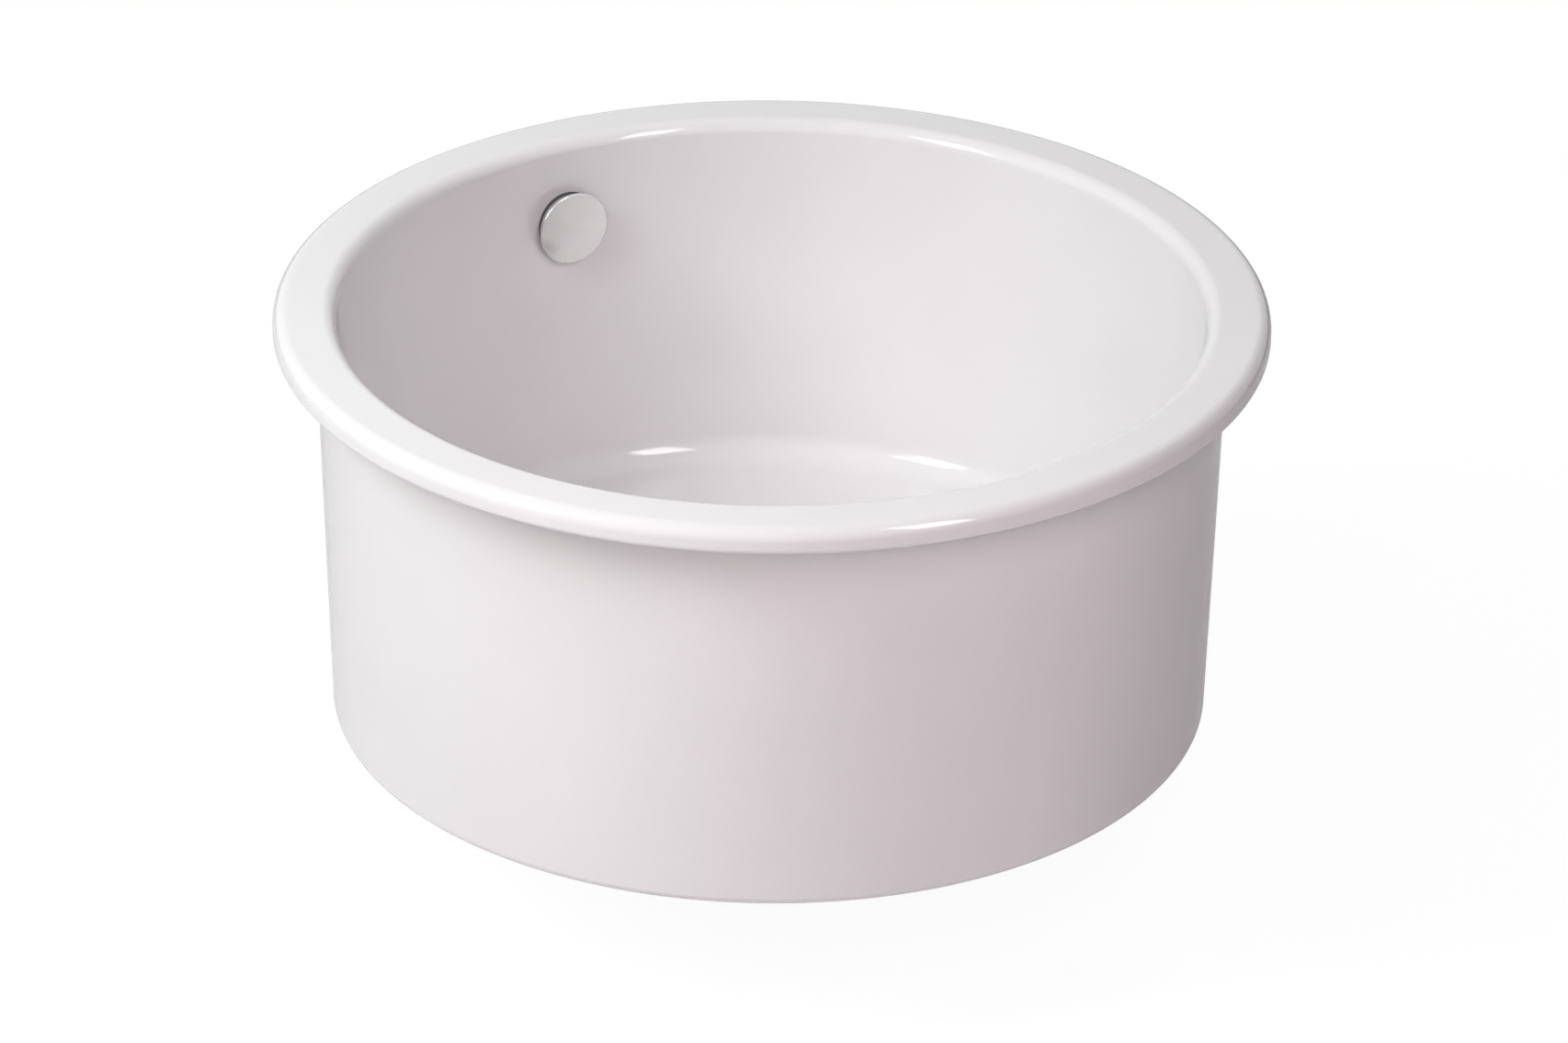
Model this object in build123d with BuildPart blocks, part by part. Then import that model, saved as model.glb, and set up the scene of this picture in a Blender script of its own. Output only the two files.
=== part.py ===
from build123d import *
from math import cos, radians, sin, tan
import os

# Round undermount kitchen sink in glazed ceramic, with its overflow kit and basket strainer waste.
# Sizes are in millimetres. The origin is the centre of the rim's flat top, which meets the
# underside of the worktop. +Z is up and the waste hangs below.

# Ceramic bowl
rim_dia = 460.0
rim_thick = 12.0
rim_overhang = 19.5
rim_top_round = 6.5
rim_low_round = 2.5
under_rim_round = 4.5
bowl_height = 203.0
body_taper = 5.2
foot_round = 4.5
foot_width = 24.0
foot_recess = 3.0
wall_at_rim = 9.5
bowl_taper = 11.0
mouth_round = 6.75
base_thick = 28.0
floor_round = 38.0
floor_fall = 1.5
drain_hole_dia = 90.0
drain_recess_gap = 1.5
drain_recess_depth = 3.0
glaze_round = 1.0

# Overflow through the wall
overflow_turn = 30.0
overflow_drop = 42.0
overflow_hole_dia = 26.0
cap_dia = 36.0
cap_depth = 4.4
cap_wall = 1.0
cap_crown = 0.5
cap_round = 1.5
cap_stand_off = 8.4
cap_boss_wall = 2.0
stud_dia = 6.0
stud_grip = 12.0
stud_point = 0.5
carrier_land = 3.0
carrier_flange = 1.2
carrier_barrel_gap = 1.5
carrier_wall = 1.6
carrier_reach = 9.0
carrier_hub_wall = 2.7
carrier_arm = 2.4
carrier_arm_count = 4
seal_least = 0.9
back_seal_least = 1.8

# Elbow behind the wall
elbow_land = 8.0
elbow_flange_thick = 3.0
elbow_wall = 3.0
elbow_round = 4.0
elbow_drop = 32.0
elbow_rib_count = 4
elbow_rib_start = 45.0
elbow_rib_thick = 2.5
elbow_rib_length = 9.0
post_wall = 1.5
insert_wall = 1.45
insert_length = 16.0

# Overflow pipes and their screwed joints
upper_pipe_dia = 22.0
pipe_wall = 1.7
pipe_gap = 0.3
upper_pipe_length = 92.0
pipe_overlap = 38.0
lower_pipe_bend = 36.0
socket_wall = 2.7
socket_depth = 12.0
bell_length = 16.0
nut_wall = 3.0
nut_rib = 1.0
nut_rib_count = 8
nut_engage = 9.0
nut_lip = 2.5
seal_thick = 3.5
seal_slope = 10.0
thread_gap = 0.05
pipe_axis_gap = 4.5
nut_below_foot = 5.0

# Strainer cup in the drain hole
cup_hole_gap = 2.0
cup_sheet = 1.0
cup_flange_width = 15.0
cup_draw = 4.0
cup_seat_depth = 28.0
cup_seat_width = 11.0
cup_depth = 37.0
cup_sump_draw = 3.0
cup_slot_count = 12
cup_slot_width = 3.8
cup_slot_land = 1.75
cup_bend = 2.0
flange_seal_thick = 1.5
flange_seal_width = 9.0
flange_seal_inset = 1.2

# Waste body under the base
gasket_thick = 3.0
gasket_inset = 1.0
waste_flange_width = 9.0
waste_flange_thick = 5.0
waste_rib_count = 12
waste_rib_thick = 2.0
waste_rib_depth = 6.0
waste_wall = 3.0
waste_round = 6.0
inlet_reach = 24.0
chamber_below_inlet = 2.0
outlet_dia = 47.8
outlet_wall = 3.4
outlet_length = 21.0
outlet_cone = 12.0
outlet_shoulder = 3.0
hub_wall = 3.0
hub_gap = 2.0
hub_floor = 6.0
spider_arm = 3.0
spider_arm_count = 3
spider_depth = 13.0
waste_insert_wall = 2.05
waste_insert_length = 14.0
bolt_wall = 1.4
bolt_head_land = 3.1
bolt_head_height = 4.0
hex_sides = 6
bolt_past_insert = 2.0
bolt_washer_land = 1.5
bolt_washer_thick = 0.8

# Lift-out basket
basket_sheet = 0.8
basket_rim_gap = 1.5
basket_rim_width = 2.5
basket_draw = 5.0
basket_below_rim = 2.0
basket_bend = 2.5
wall_slot_count = 24
wall_slot_length = 12.0
wall_slot_width = 2.4
floor_hole_dia = 3.0
inner_hole_step = 8.0
inner_hole_count = 12
outer_hole_step = 16.0
outer_hole_count = 18
stopper_overlap = 4.0
stopper_thick = 3.0
stopper_lip = 1.0
seat_gap = 0.3
stem_dia = 5.0
stem_point = 0.8
stem_shoulder = 1.5
stem_height = 18.0
stem_reach = 14.0
stem_end_gap = 3.0
knob_dia = 21.0
knob_height = 9.0
knob_socket = 4.5
knob_neck_wall = 1.5
knob_neck_round = 1.5
knob_round = 3.0
stopper_washer_dia = 22.0
stopper_washer_thick = 0.8
stem_nut_land = 1.5
stem_nut_height = 2.6
clip_wall = 0.65
clip_length = 5.0
clip_slot = 1.2
clip_above_tip = 1.6

# Bowl: radii and levels worked out from the sizes above
rim_r = rim_dia / 2
body_r = rim_r - rim_overhang
body_foot_r = body_r - body_taper
mouth_r = body_r - wall_at_rim
foot_inner_r = body_foot_r - foot_width
drain_r = drain_hole_dia / 2
cup_top_r = drain_r - cup_hole_gap - cup_sheet
cup_flange_r = cup_top_r + cup_flange_width
recess_r = cup_flange_r + drain_recess_gap
floor_level = -(bowl_height - base_thick)
floor_corner_r = mouth_r - bowl_taper
drain_edge_level = floor_level - (floor_corner_r - recess_r) * tan(radians(floor_fall))
recess_level = drain_edge_level - drain_recess_depth
under_level = -(bowl_height - foot_recess)


def outer_wall_r(level):
    """Radius of the outside of the body at a level below the rim."""
    return body_r + body_taper * (level + rim_thick) / (bowl_height - rim_thick)


def inner_wall_r(level):
    """Radius of the inside of the bowl at a level below the rim."""
    return mouth_r - bowl_taper * level / floor_level


# The overflow's axis is level and radial. Its section plane has the distance from the
# bowl's axis as x and the height above the overflow's axis as y.
overflow_level = -overflow_drop
outward = Vector(-sin(radians(overflow_turn)), cos(radians(overflow_turn)), 0)
sideways = Vector(-cos(radians(overflow_turn)), -sin(radians(overflow_turn)), 0)
overflow_axis = Axis((0, 0, overflow_level), outward)
overflow_section = Plane(origin=(0, 0, overflow_level), x_dir=outward, z_dir=-sideways)
overflow_face = Plane(origin=(0, 0, overflow_level), x_dir=sideways, z_dir=outward)


def in_pipe_plane(distance, level):
    """Point in the upright plane of the overflow, at a distance from the bowl's axis."""
    return outward * distance + Vector(0, 0, level)


overflow_hole_r = overflow_hole_dia / 2
stud_r = stud_dia / 2
carrier_r = overflow_hole_r + carrier_land
barrel_r = overflow_hole_r - carrier_barrel_gap
carrier_hub_r = stud_r + pipe_gap + carrier_hub_wall
elbow_flange_r = overflow_hole_r + elbow_land
elbow_outer_r = barrel_r + elbow_wall
insert_r = stud_r + thread_gap + insert_wall
cap_face_at = inner_wall_r(overflow_level) - cap_stand_off
cap_back_at = cap_face_at + cap_depth
cap_socket_at = cap_face_at + cap_crown + cap_wall
carrier_back_at = inner_wall_r(overflow_level - carrier_r) - seal_least
carrier_front_at = carrier_back_at - carrier_flange
elbow_face_at = outer_wall_r(overflow_level + elbow_flange_r) + back_seal_least
elbow_cup_at = elbow_face_at + elbow_flange_thick

# Overflow pipes
upper_pipe_r = upper_pipe_dia / 2
pipe_bore_r = upper_pipe_r - pipe_wall
lower_pipe_bore_r = upper_pipe_r + pipe_gap
lower_pipe_r = lower_pipe_bore_r + pipe_wall
upper_socket_r = upper_pipe_r + pipe_gap + socket_wall
inlet_r = lower_pipe_r + pipe_gap + socket_wall
nut_over_socket = thread_gap + nut_wall + nut_rib
pipe_at = body_r + pipe_axis_gap + upper_socket_r + nut_over_socket
elbow_back_at = pipe_at + upper_socket_r
elbow_end_level = overflow_level - elbow_drop
pipe_top_level = elbow_end_level + socket_depth - pipe_gap
bell_level = pipe_top_level - upper_pipe_length + pipe_overlap
inlet_level = -bowl_height - nut_below_foot - nut_over_socket - inlet_r
bend_level = inlet_level + lower_pipe_bend

# Strainer cup, waste body and centre bolt
cup_top_level = recess_level + flange_seal_thick + cup_sheet
cup_seat_level = cup_top_level - cup_seat_depth
cup_sump_level = cup_top_level - cup_depth
cup_low_r = cup_top_r - cup_draw
cup_seat_r = cup_low_r - cup_seat_width
cup_sump_r = cup_seat_r - cup_sump_draw
stem_r = stem_dia / 2
clip_r = stem_r + thread_gap + clip_wall
bolt_bore_r = clip_r + seat_gap
bolt_r = bolt_bore_r + bolt_wall
bolt_head_r = bolt_r + bolt_head_land
bolt_washer_r = bolt_head_r + bolt_washer_land
bolt_hole_r = bolt_r + pipe_gap
waste_insert_r = bolt_r + thread_gap + waste_insert_wall
hub_r = waste_insert_r + hub_wall
hub_level = cup_sump_level - cup_sheet - hub_gap
hub_low_level = hub_level - waste_insert_length - hub_floor
bolt_seat_level = cup_sump_level + bolt_washer_thick
bolt_top_level = bolt_seat_level + bolt_head_height
bolt_low_level = hub_level - waste_insert_length - bolt_past_insert
gasket_level = under_level - gasket_thick
waste_flange_low = gasket_level - waste_flange_thick
waste_flange_r = drain_r + waste_flange_width
chamber_outer_r = drain_r + waste_wall
chamber_low_level = inlet_level - inlet_r - chamber_below_inlet
outlet_r = outlet_dia / 2
outlet_bore_r = outlet_r - outlet_wall
outlet_top_level = chamber_low_level - outlet_cone
outlet_end_level = outlet_top_level - outlet_shoulder - outlet_length
inlet_end_at = chamber_outer_r + inlet_reach
inlet_stop_at = inlet_end_at - socket_depth

# Basket
basket_rim_r = cup_top_r - basket_rim_gap
basket_top_r = basket_rim_r - basket_rim_width
basket_low_r = basket_top_r - basket_draw
basket_rim_level = cup_top_level - basket_below_rim
stopper_r = cup_seat_r + stopper_overlap
stopper_low_level = cup_seat_level + seat_gap
basket_floor_level = stopper_low_level + stopper_thick + basket_sheet
shoulder_r = stem_r + stem_shoulder
stem_top_level = basket_floor_level + stem_height
stem_low_level = bolt_top_level - stem_reach
knob_low_level = stem_top_level - knob_socket
washer_low_level = stopper_low_level - stopper_washer_thick
stem_nut_low = washer_low_level - stem_nut_height

os.makedirs("parts", exist_ok=True)


def save(piece, name):
    """Label a finished piece and write it under its own name."""
    piece.part.label = name
    export_step(piece.part, f"parts/{name}.step")


# Bowl: one turned section with a flat rim, tapered walls, a fall to the drain and a foot ring
with BuildPart() as bowl:
    with BuildSketch(Plane.XZ):
        with BuildLine():
            FilletPolyline(
                (drain_r, under_level),
                (drain_r, recess_level),
                (recess_r, recess_level),
                (recess_r, drain_edge_level),
                (floor_corner_r, floor_level),
                (mouth_r, 0),
                (rim_r, 0),
                (rim_r, -rim_thick),
                (body_r, -rim_thick),
                (body_foot_r, -bowl_height),
                (foot_inner_r, -bowl_height),
                (foot_inner_r, under_level),
                radius=(
                    glaze_round,
                    glaze_round,
                    glaze_round,
                    glaze_round,
                    floor_round,
                    mouth_round,
                    rim_top_round,
                    rim_low_round,
                    under_rim_round,
                    foot_round,
                    glaze_round,
                    glaze_round,
                ),
                close=True,
            )
        make_face()
    revolve(axis=Axis.Z)
    with BuildSketch(overflow_face.offset(inner_wall_r(overflow_level) - wall_at_rim)):
        Circle(overflow_hole_r)
    extrude(amount=3 * wall_at_rim, mode=Mode.SUBTRACT)
save(bowl, "bowl")

# Overflow cap: a turned disc with a low crown and a skirt, and a boss behind for the stud
with BuildPart() as overflow_cap:
    with BuildSketch(overflow_section):
        with BuildLine():
            crown = ThreePointArc(
                (cap_face_at, 0),
                (cap_face_at + cap_crown / 4, cap_dia / 4),
                (cap_face_at + cap_crown, cap_dia / 2),
            )
            rim_edge = Line(crown @ 1, (cap_back_at, cap_dia / 2))
            Polyline(
                rim_edge @ 1,
                (cap_back_at, cap_dia / 2 - cap_wall),
                (cap_socket_at, cap_dia / 2 - cap_wall),
                (cap_socket_at, stud_r + cap_boss_wall),
                (carrier_front_at, stud_r + cap_boss_wall),
                (carrier_front_at, 0),
                (cap_face_at, 0),
            )
        make_face()
        fillet(vertices().group_by(Axis.Y)[-1].sort_by(Axis.X)[0], radius=cap_round)
    revolve(axis=overflow_axis)
    with BuildSketch(overflow_face.offset(carrier_front_at)):
        Circle(stud_r + thread_gap)
    extrude(amount=cap_socket_at - carrier_front_at, mode=Mode.SUBTRACT)
save(overflow_cap, "overflow_cap")

# Carrier: a thin flange on the wall, a barrel in the hole, and four arms to a hub for the stud
with BuildPart() as overflow_carrier:
    with BuildSketch(overflow_face.offset(carrier_front_at)):
        Circle(carrier_r)
    extrude(amount=carrier_flange)
    with BuildSketch(overflow_face.offset(carrier_front_at)):
        Circle(barrel_r)
    extrude(amount=carrier_reach)
    with BuildSketch(overflow_face.offset(carrier_front_at)) as water_way:
        Circle(barrel_r - carrier_wall)
        Circle(carrier_hub_r, mode=Mode.SUBTRACT)
        with PolarLocations(0, carrier_arm_count):
            Rectangle(barrel_r, carrier_arm, align=(Align.MIN, Align.CENTER), mode=Mode.SUBTRACT)
    extrude(amount=carrier_reach, mode=Mode.SUBTRACT)
    with BuildSketch(overflow_face.offset(carrier_front_at)):
        Circle(stud_r + pipe_gap)
    extrude(amount=carrier_reach, mode=Mode.SUBTRACT)
save(overflow_carrier, "overflow_carrier")

# Front seal: a flat ring on the carrier that follows the hollow of the wall on its other side
with BuildPart() as overflow_front_seal:
    with BuildSketch(overflow_face.offset(carrier_back_at)):
        Circle(carrier_r)
        Circle(overflow_hole_r, mode=Mode.SUBTRACT)
    extrude(amount=wall_at_rim)
    with BuildSketch(Plane.XZ):
        with BuildLine():
            Polyline((0, 0), (mouth_r, 0), (floor_corner_r, floor_level), (0, floor_level), close=True)
        make_face()
    revolve(axis=Axis.Z, mode=Mode.INTERSECT)
save(overflow_front_seal, "overflow_front_seal")

# Back seal: flat against the elbow's flange and hollowed to the round of the outer wall
with BuildPart() as overflow_back_seal:
    with BuildSketch(overflow_face.offset(elbow_face_at)):
        Circle(elbow_flange_r)
        Circle(overflow_hole_r, mode=Mode.SUBTRACT)
    extrude(amount=-wall_at_rim)
    with BuildSketch(Plane.XZ):
        with BuildLine():
            Polyline(
                (0, -rim_thick),
                (body_r, -rim_thick),
                (body_foot_r, -bowl_height),
                (0, -bowl_height),
                close=True,
            )
        make_face()
    revolve(axis=Axis.Z, mode=Mode.SUBTRACT)
save(overflow_back_seal, "overflow_back_seal")

# Elbow: a flanged cup behind the hole with a spigot that turns down into the pipe's socket
elbow_rib_turns = [elbow_rib_start + turn * 360 / elbow_rib_count for turn in range(elbow_rib_count)]
elbow_rib_planes = [
    Plane(origin=overflow_section.origin, x_dir=outward, z_dir=sideways.rotate(overflow_axis, rib_turn))
    for rib_turn in elbow_rib_turns
]
with BuildPart() as overflow_elbow:
    with BuildSketch(overflow_section):
        with BuildLine():
            FilletPolyline(
                (elbow_face_at, 0),
                (elbow_face_at, elbow_flange_r),
                (elbow_cup_at, elbow_flange_r),
                (elbow_cup_at, elbow_outer_r),
                (elbow_back_at, elbow_outer_r),
                (elbow_back_at, 0),
                radius=(0, 0, pipe_gap, elbow_flange_thick / 2, elbow_round, 0),
                close=True,
            )
        make_face()
    revolve(axis=overflow_axis)
    with BuildSketch(Plane.XY.offset(overflow_level)):
        with Locations(outward * pipe_at):
            Circle(upper_socket_r)
    extrude(amount=-elbow_drop)
    with BuildSketch(*elbow_rib_planes):
        with BuildLine():
            Polyline(
                (elbow_cup_at, elbow_outer_r - elbow_wall / 2),
                (elbow_cup_at, elbow_flange_r - elbow_rib_thick / 2),
                (elbow_cup_at + elbow_rib_length, elbow_outer_r),
                (elbow_cup_at + elbow_rib_length, elbow_outer_r - elbow_wall / 2),
                close=True,
            )
        make_face()
    extrude(amount=elbow_rib_thick / 2, both=True)
    with BuildSketch(overflow_face.offset(elbow_face_at)):
        Circle(barrel_r)
    extrude(amount=elbow_back_at - elbow_wall - elbow_face_at, mode=Mode.SUBTRACT)
    with BuildSketch(Plane.XY.offset(overflow_level)):
        with Locations(outward * pipe_at):
            Circle(pipe_bore_r)
    extrude(amount=-elbow_drop, mode=Mode.SUBTRACT)
    with BuildSketch(Plane.XY.offset(elbow_end_level)):
        with Locations(outward * pipe_at):
            Circle(upper_pipe_r + pipe_gap)
    extrude(amount=socket_depth, mode=Mode.SUBTRACT)
    with BuildSketch(overflow_face.offset(elbow_back_at - elbow_wall)):
        Circle(insert_r + post_wall)
    extrude(amount=elbow_cup_at + elbow_wall - elbow_back_at)
    with BuildSketch(overflow_face.offset(elbow_cup_at)):
        Circle(insert_r)
    extrude(amount=insert_length, mode=Mode.SUBTRACT)
save(overflow_elbow, "overflow_elbow")

# Overflow stud: one threaded rod from the cap's boss to the insert in the elbow
with BuildPart() as overflow_stud:
    with BuildSketch(overflow_face.offset(cap_socket_at + pipe_gap)):
        Circle(stud_r)
    extrude(amount=elbow_cup_at + stud_grip - cap_socket_at - pipe_gap)
    chamfer(overflow_stud.edges(), length=stud_point)
save(overflow_stud, "overflow_stud")

# Elbow insert: a knurled brass bush, plain bored here at the stud's size
with BuildPart() as elbow_insert:
    with BuildSketch(overflow_face.offset(elbow_cup_at)):
        Circle(insert_r)
        Circle(stud_r + thread_gap, mode=Mode.SUBTRACT)
    extrude(amount=insert_length)
save(elbow_insert, "elbow_insert")

# Upper pipe: straight, held in the elbow's socket and free to slide in the lower pipe
with BuildPart() as upper_pipe:
    with BuildSketch(Plane.XY.offset(pipe_top_level)):
        with Locations(outward * pipe_at):
            Circle(upper_pipe_r)
            Circle(pipe_bore_r, mode=Mode.SUBTRACT)
    extrude(amount=-upper_pipe_length)
save(upper_pipe, "upper_pipe")

# Lower pipe: a belled top for the telescopic joint, a drop, a bend and a run in to the waste
with BuildPart() as lower_pipe:
    with BuildLine():
        drop = Line(in_pipe_plane(pipe_at, bell_level), in_pipe_plane(pipe_at, bend_level))
        turn = TangentArc(
            drop @ 1,
            in_pipe_plane(pipe_at - lower_pipe_bend, inlet_level),
            tangent=drop % 1,
        )
        Line(turn @ 1, in_pipe_plane(inlet_stop_at + pipe_gap, inlet_level))
    with BuildSketch(Plane(origin=drop @ 0, z_dir=drop % 0)):
        Circle(lower_pipe_r)
        Circle(lower_pipe_bore_r, mode=Mode.SUBTRACT)
    sweep()
    with BuildSketch(Plane.XY.offset(bell_level)):
        with Locations(outward * pipe_at):
            Circle(upper_socket_r)
            Circle(lower_pipe_bore_r, mode=Mode.SUBTRACT)
    extrude(amount=-bell_length)
save(lower_pipe, "lower_pipe")

# Three screwed joints: each nut turns on a socket and presses a tapered seal onto the pipe.
# A joint is its plane, at the socket's mouth and facing along the pipe, and the radii it joins.
elbow_mouth = Plane(origin=in_pipe_plane(pipe_at, elbow_end_level), z_dir=(0, 0, -1))
bell_mouth = Plane(origin=in_pipe_plane(pipe_at, bell_level), z_dir=(0, 0, 1))
inlet_mouth = Plane(origin=in_pipe_plane(inlet_end_at, inlet_level), z_dir=outward)
screwed_joints = (
    ("upper_pipe", elbow_mouth, upper_socket_r, upper_pipe_r),
    ("pipe_coupling", bell_mouth, upper_socket_r, upper_pipe_r),
    ("lower_pipe", inlet_mouth, inlet_r, lower_pipe_r),
)
for joint_name, mouth, socket_r, pipe_r in screwed_joints:
    nut_bore_r = socket_r + thread_gap
    nut_r = nut_bore_r + nut_wall
    with BuildPart() as nut:
        with BuildSketch(mouth.offset(-nut_engage)):
            Circle(nut_r)
            with PolarLocations(nut_r, nut_rib_count):
                Circle(nut_rib)
        extrude(amount=nut_engage + seal_thick + nut_lip)
        with BuildSketch(mouth.offset(-nut_engage)):
            Circle(nut_bore_r)
        extrude(amount=nut_engage + seal_thick, mode=Mode.SUBTRACT)
        with BuildSketch(mouth.offset(seal_thick)):
            Circle(pipe_r + pipe_gap)
        extrude(amount=nut_lip, mode=Mode.SUBTRACT)
    save(nut, f"{joint_name}_nut")
    with BuildPart() as seal:
        with BuildSketch(mouth):
            Circle(nut_bore_r - pipe_gap)
        extrude(amount=seal_thick, taper=seal_slope)
        with BuildSketch(mouth):
            Circle(pipe_r + thread_gap)
        extrude(amount=seal_thick, mode=Mode.SUBTRACT)
    save(seal, f"{joint_name}_seal")

# Flange seal: a flat washer in the recess under the strainer's flange
with BuildPart() as flange_seal:
    with BuildSketch(Plane.XY.offset(recess_level)):
        Circle(cup_flange_r - flange_seal_inset)
        Circle(cup_flange_r - flange_seal_inset - flange_seal_width, mode=Mode.SUBTRACT)
    extrude(amount=flange_seal_thick)
save(flange_seal, "flange_seal")

# Strainer cup: one pressed sheet with a flange, a flat seat for the stopper and a slotted sump
with BuildPart() as strainer_cup:
    with BuildSketch(Plane.XZ):
        with BuildLine():
            FilletPolyline(
                (cup_flange_r, cup_top_level),
                (cup_top_r, cup_top_level),
                (cup_low_r, cup_seat_level),
                (cup_seat_r, cup_seat_level),
                (cup_sump_r, cup_sump_level),
                (bolt_hole_r, cup_sump_level),
                radius=(cup_bend, cup_bend, cup_bend / 2, cup_bend),
            )
            offset(amount=cup_sheet, side=Side.LEFT)
        make_face()
    revolve(axis=Axis.Z)
    with BuildSketch(Plane.XY.offset(cup_sump_level)):
        with PolarLocations((cup_sump_r + bolt_washer_r) / 2, cup_slot_count):
            SlotOverall(cup_sump_r - bolt_washer_r - 2 * cup_slot_land, cup_slot_width)
    extrude(amount=-cup_sheet, mode=Mode.SUBTRACT)
save(strainer_cup, "strainer_cup")

# Base gasket: a flat ring between the waste body and the underside of the bowl
with BuildPart() as base_gasket:
    with BuildSketch(Plane.XY.offset(gasket_level)):
        Circle(waste_flange_r)
        Circle(drain_r + gasket_inset, mode=Mode.SUBTRACT)
    extrude(amount=gasket_thick)
save(base_gasket, "base_gasket")

# Waste body: a flanged chamber, a cone down to the outlet, a side inlet, and a hub on three arms
inlet_face = Plane(origin=in_pipe_plane(0, inlet_level), x_dir=sideways, z_dir=outward)
waste_rib_planes = [Plane.XZ.rotated((0, 0, turn * 360 / waste_rib_count)) for turn in range(waste_rib_count)]
with BuildPart() as waste_body:
    with BuildSketch(Plane.XZ):
        with BuildLine():
            FilletPolyline(
                (0, gasket_level),
                (waste_flange_r, gasket_level),
                (waste_flange_r, waste_flange_low),
                (chamber_outer_r, waste_flange_low),
                (chamber_outer_r, chamber_low_level),
                (outlet_r + outlet_shoulder, outlet_top_level),
                (outlet_r + outlet_shoulder, outlet_top_level - outlet_shoulder),
                (outlet_r, outlet_top_level - outlet_shoulder),
                (outlet_r, outlet_end_level),
                (0, outlet_end_level),
                radius=(0, 0, 0, 0, waste_round, 0, 0, 0, 0, 0),
                close=True,
            )
        make_face()
    revolve(axis=Axis.Z)
    with BuildSketch(inlet_face):
        Circle(inlet_r)
    extrude(amount=inlet_end_at)
    with BuildSketch(*waste_rib_planes):
        with BuildLine():
            Polyline(
                (chamber_outer_r - waste_wall / 2, waste_flange_low),
                (waste_flange_r - waste_rib_thick / 2, waste_flange_low),
                (chamber_outer_r, waste_flange_low - waste_rib_depth),
                (chamber_outer_r - waste_wall / 2, waste_flange_low - waste_rib_depth),
                close=True,
            )
        make_face()
    extrude(amount=waste_rib_thick / 2, both=True)
    with BuildSketch(Plane.XZ):
        with BuildLine():
            FilletPolyline(
                (0, gasket_level),
                (drain_r, gasket_level),
                (drain_r, chamber_low_level),
                (outlet_bore_r, outlet_top_level),
                (outlet_bore_r, outlet_end_level),
                (0, outlet_end_level),
                radius=(0, 0, waste_round - waste_wall, 0, 0, 0),
                close=True,
            )
        make_face()
    revolve(axis=Axis.Z, mode=Mode.SUBTRACT)
    with BuildSketch(inlet_face):
        Circle(lower_pipe_bore_r)
    extrude(amount=inlet_end_at, mode=Mode.SUBTRACT)
    with BuildSketch(Plane(origin=in_pipe_plane(inlet_end_at, inlet_level), z_dir=outward)):
        Circle(lower_pipe_r + pipe_gap)
    extrude(amount=-socket_depth, mode=Mode.SUBTRACT)
    with BuildSketch(Plane.XY.offset(hub_level)):
        Circle(hub_r)
    extrude(amount=hub_low_level - hub_level)
    with BuildSketch(Plane.XY.offset(hub_low_level)):
        with PolarLocations(drain_r / 2, spider_arm_count, start_angle=overflow_turn - 90):
            Rectangle(drain_r + waste_wall, spider_arm)
    extrude(amount=spider_depth)
    with BuildSketch(Plane.XY.offset(hub_level)):
        Circle(waste_insert_r)
    extrude(amount=-waste_insert_length, mode=Mode.SUBTRACT)
    with BuildSketch(Plane.XY.offset(hub_level)):
        Circle(bolt_hole_r)
    extrude(amount=hub_low_level - hub_level, mode=Mode.SUBTRACT)
save(waste_body, "waste_body")

# Waste insert: the brass bush that the centre bolt screws into
with BuildPart() as waste_insert:
    with BuildSketch(Plane.XY.offset(hub_level)):
        Circle(waste_insert_r)
        Circle(bolt_r + thread_gap, mode=Mode.SUBTRACT)
    extrude(amount=-waste_insert_length)
save(waste_insert, "waste_insert")

# Bolt washer: a thin ring under the bolt's head
with BuildPart() as bolt_washer:
    with BuildSketch(Plane.XY.offset(cup_sump_level)):
        Circle(bolt_washer_r)
        Circle(bolt_hole_r, mode=Mode.SUBTRACT)
    extrude(amount=bolt_washer_thick)
save(bolt_washer, "bolt_washer")

# Centre bolt: a six-sided head and a hollow shank that the basket's stem drops into
with BuildPart() as centre_bolt:
    with BuildSketch(Plane.XY.offset(bolt_seat_level)):
        RegularPolygon(bolt_head_r, hex_sides)
    extrude(amount=bolt_head_height)
    with BuildSketch(Plane.XY.offset(bolt_seat_level)):
        Circle(bolt_r)
    extrude(amount=bolt_low_level - bolt_seat_level)
    with BuildSketch(Plane.XY.offset(bolt_top_level)):
        Circle(bolt_bore_r)
    extrude(amount=-stem_reach - stem_end_gap, mode=Mode.SUBTRACT)
save(centre_bolt, "centre_bolt")

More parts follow.
